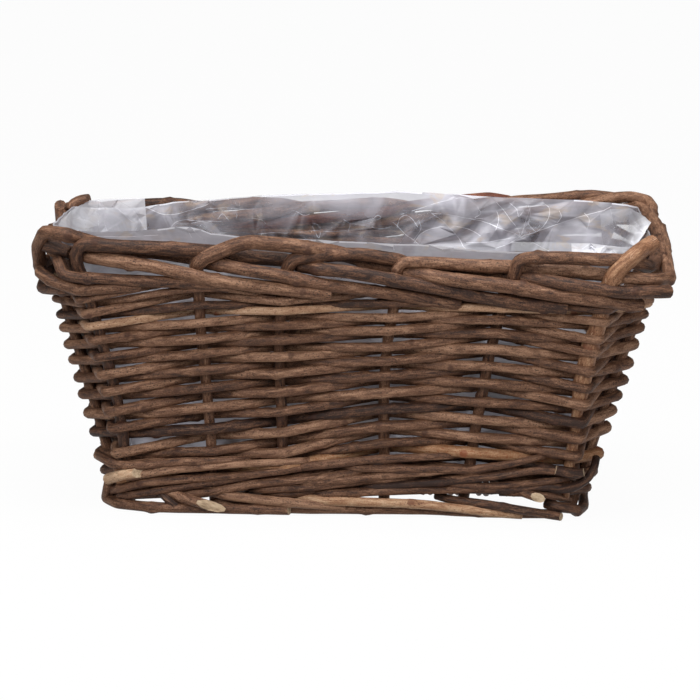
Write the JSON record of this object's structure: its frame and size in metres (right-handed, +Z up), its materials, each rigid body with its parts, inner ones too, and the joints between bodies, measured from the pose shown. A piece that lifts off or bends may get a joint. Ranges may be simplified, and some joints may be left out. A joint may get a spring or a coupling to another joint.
{
  "type": "wicker planter",
  "caption": "Rectangular planter woven from unpeeled willow, tapering to its base, with a bent-over border and a loose see-through film liner that lifts out.",
  "frame": {"origin": "centre of the footprint, on the surface the planter stands on", "axes": "+X along the long side, to the right seen from the front; the front faces -Y; +Z up"},
  "size_m": [0.4, 0.24, 0.178],
  "materials": {
    "bark": "unpeeled willow, satin",
    "dark_bark": "unpeeled willow, darker and matt",
    "tan_bark": "unpeeled willow, golden tan",
    "film": "clear crinkled polythene film"
  },
  "bodies": {
    "basket": {"stake_01": "bark", "stake_02": "dark_bark", "stake_03": "bark", "stake_04": "bark", "stake_05": "dark_bark", "stake_06": "bark", "stake_07": "bark", "stake_08": "dark_bark", "stake_09": "bark", "stake_10": "bark", "stake_11": "dark_bark", "stake_12": "bark", "stake_13": "bark", "stake_14": "dark_bark", "stake_15": "bark", "stake_16": "bark", "stake_17": "dark_bark", "stake_18": "bark", "row_01": "bark", "row_02": "tan_bark", "row_03": "dark_bark", "row_04": "bark", "row_05": "tan_bark", "row_06": "dark_bark", "row_07": "bark", "row_08": "tan_bark", "row_09": "dark_bark", "row_10": "bark", "row_11": "tan_bark", "row_12": "dark_bark", "row_13": "bark", "row_14": "tan_bark", "row_15": "dark_bark", "row_16": "bark", "row_17": "tan_bark", "row_18": "dark_bark", "row_19": "bark", "row_20": "tan_bark", "row_21": "dark_bark", "row_22": "bark", "row_23": "tan_bark", "row_24": "dark_bark", "row_25": "bark", "base_stick_1": "dark_bark", "base_stick_2": "dark_bark", "base_stick_3": "dark_bark", "base_stick_4": "dark_bark", "base_stick_5": "dark_bark", "foot_rod_1": "dark_bark", "foot_rod_2": "dark_bark", "base_weaver": "bark"},
    "liner": {"film_floor": "film", "film_front": "film", "film_right": "film", "film_back": "film", "film_left": "film"}
  },
  "joints": [
    {"name": "liner_lift", "type": "slide", "parent": "basket", "child": "liner", "axis": [0, 0, 1], "range_m": [0, 0.19]}
  ]
}
